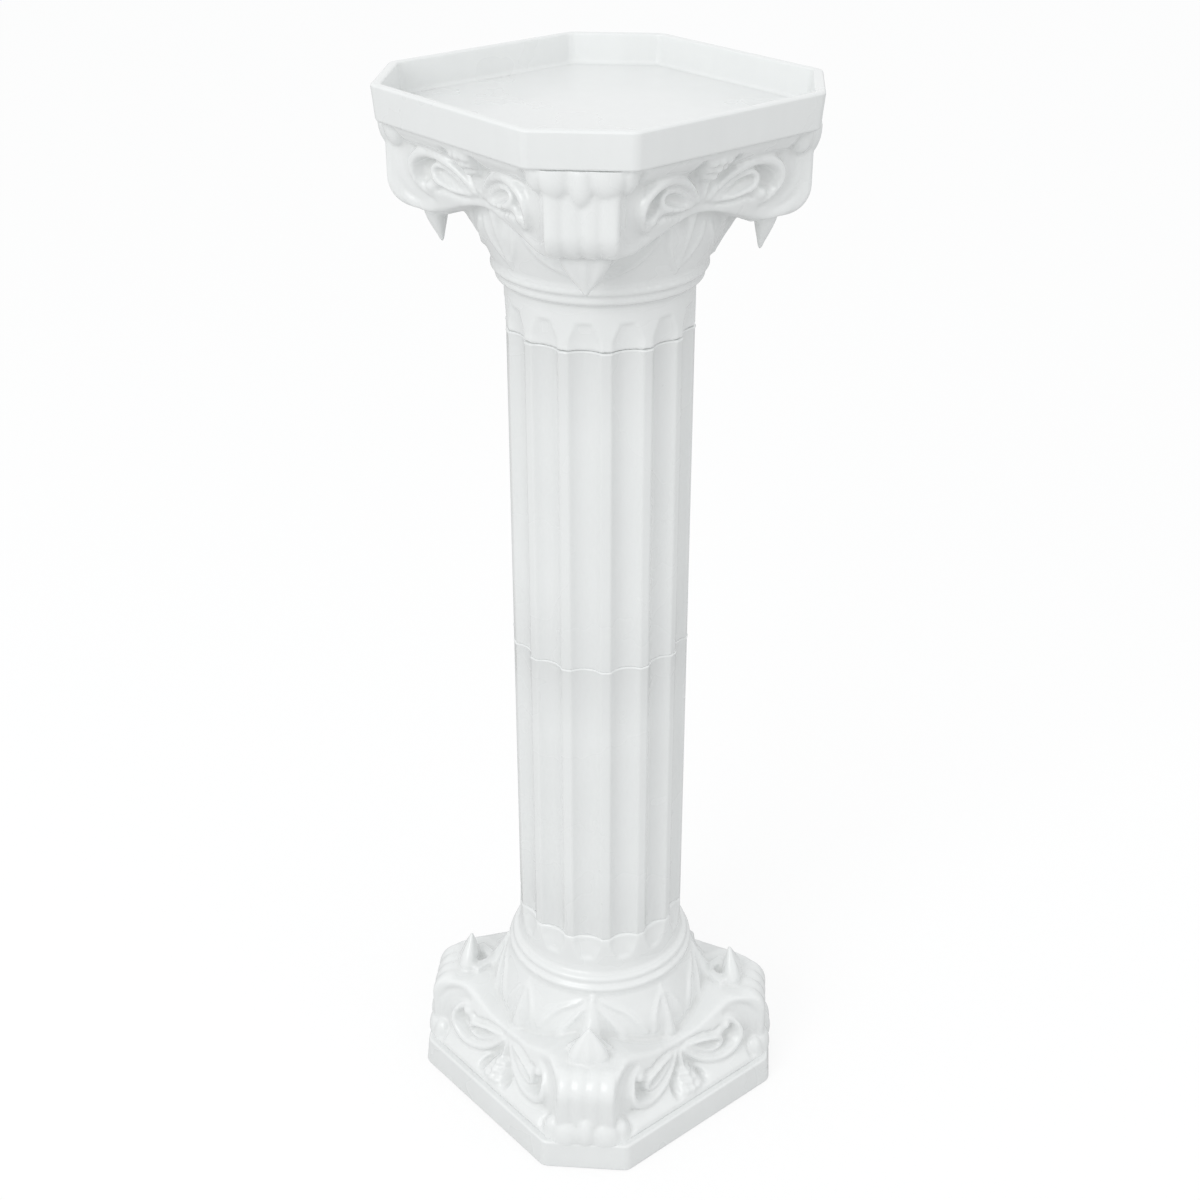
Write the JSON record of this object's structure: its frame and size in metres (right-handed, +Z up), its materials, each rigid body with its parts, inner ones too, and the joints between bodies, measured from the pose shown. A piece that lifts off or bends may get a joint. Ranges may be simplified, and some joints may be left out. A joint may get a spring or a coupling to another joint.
{
  "type": "pedestal column stand",
  "caption": "Fluted column stand with a leafed, scrolled capital and matching base, a shallow corner-cut tray on top and a plinth below.",
  "frame": {"origin": "centre of the stand's underside, on the surface it stands on", "axes": "+Z up the column; the sides of the trays and the ornament's faces look along X and Y"},
  "size_m": [0.2502, 0.2502, 0.813],
  "materials": {
    "moulded_white": "smooth moulded, soft gloss",
    "inner_sleeve": "plain moulded"
  },
  "bodies": {
    "plinth_tray": {"plinth_tray": "moulded_white"},
    "base": {"base": "moulded_white"},
    "lower_drum": {"lower_drum": "moulded_white", "drum_coupler": "inner_sleeve"},
    "upper_drum": {"upper_drum": "moulded_white"},
    "capital": {"capital": "moulded_white"},
    "top_tray": {"top_tray": "moulded_white"}
  },
  "joints": [
    {"name": "base_lift", "type": "slide", "parent": "plinth_tray", "child": "base", "axis": [0, 0, 1], "range_m": [0, 0.01]},
    {"name": "lower_drum_lift", "type": "slide", "parent": "base", "child": "lower_drum", "axis": [0, 0, 1], "range_m": [0, 0.03]},
    {"name": "upper_drum_lift", "type": "slide", "parent": "lower_drum", "child": "upper_drum", "axis": [0, 0, 1], "range_m": [0, 0.032]},
    {"name": "capital_lift", "type": "slide", "parent": "upper_drum", "child": "capital", "axis": [0, 0, 1], "range_m": [0, 0.03]},
    {"name": "top_tray_lift", "type": "slide", "parent": "capital", "child": "top_tray", "axis": [0, 0, 1], "range_m": [0, 0.05]}
  ]
}
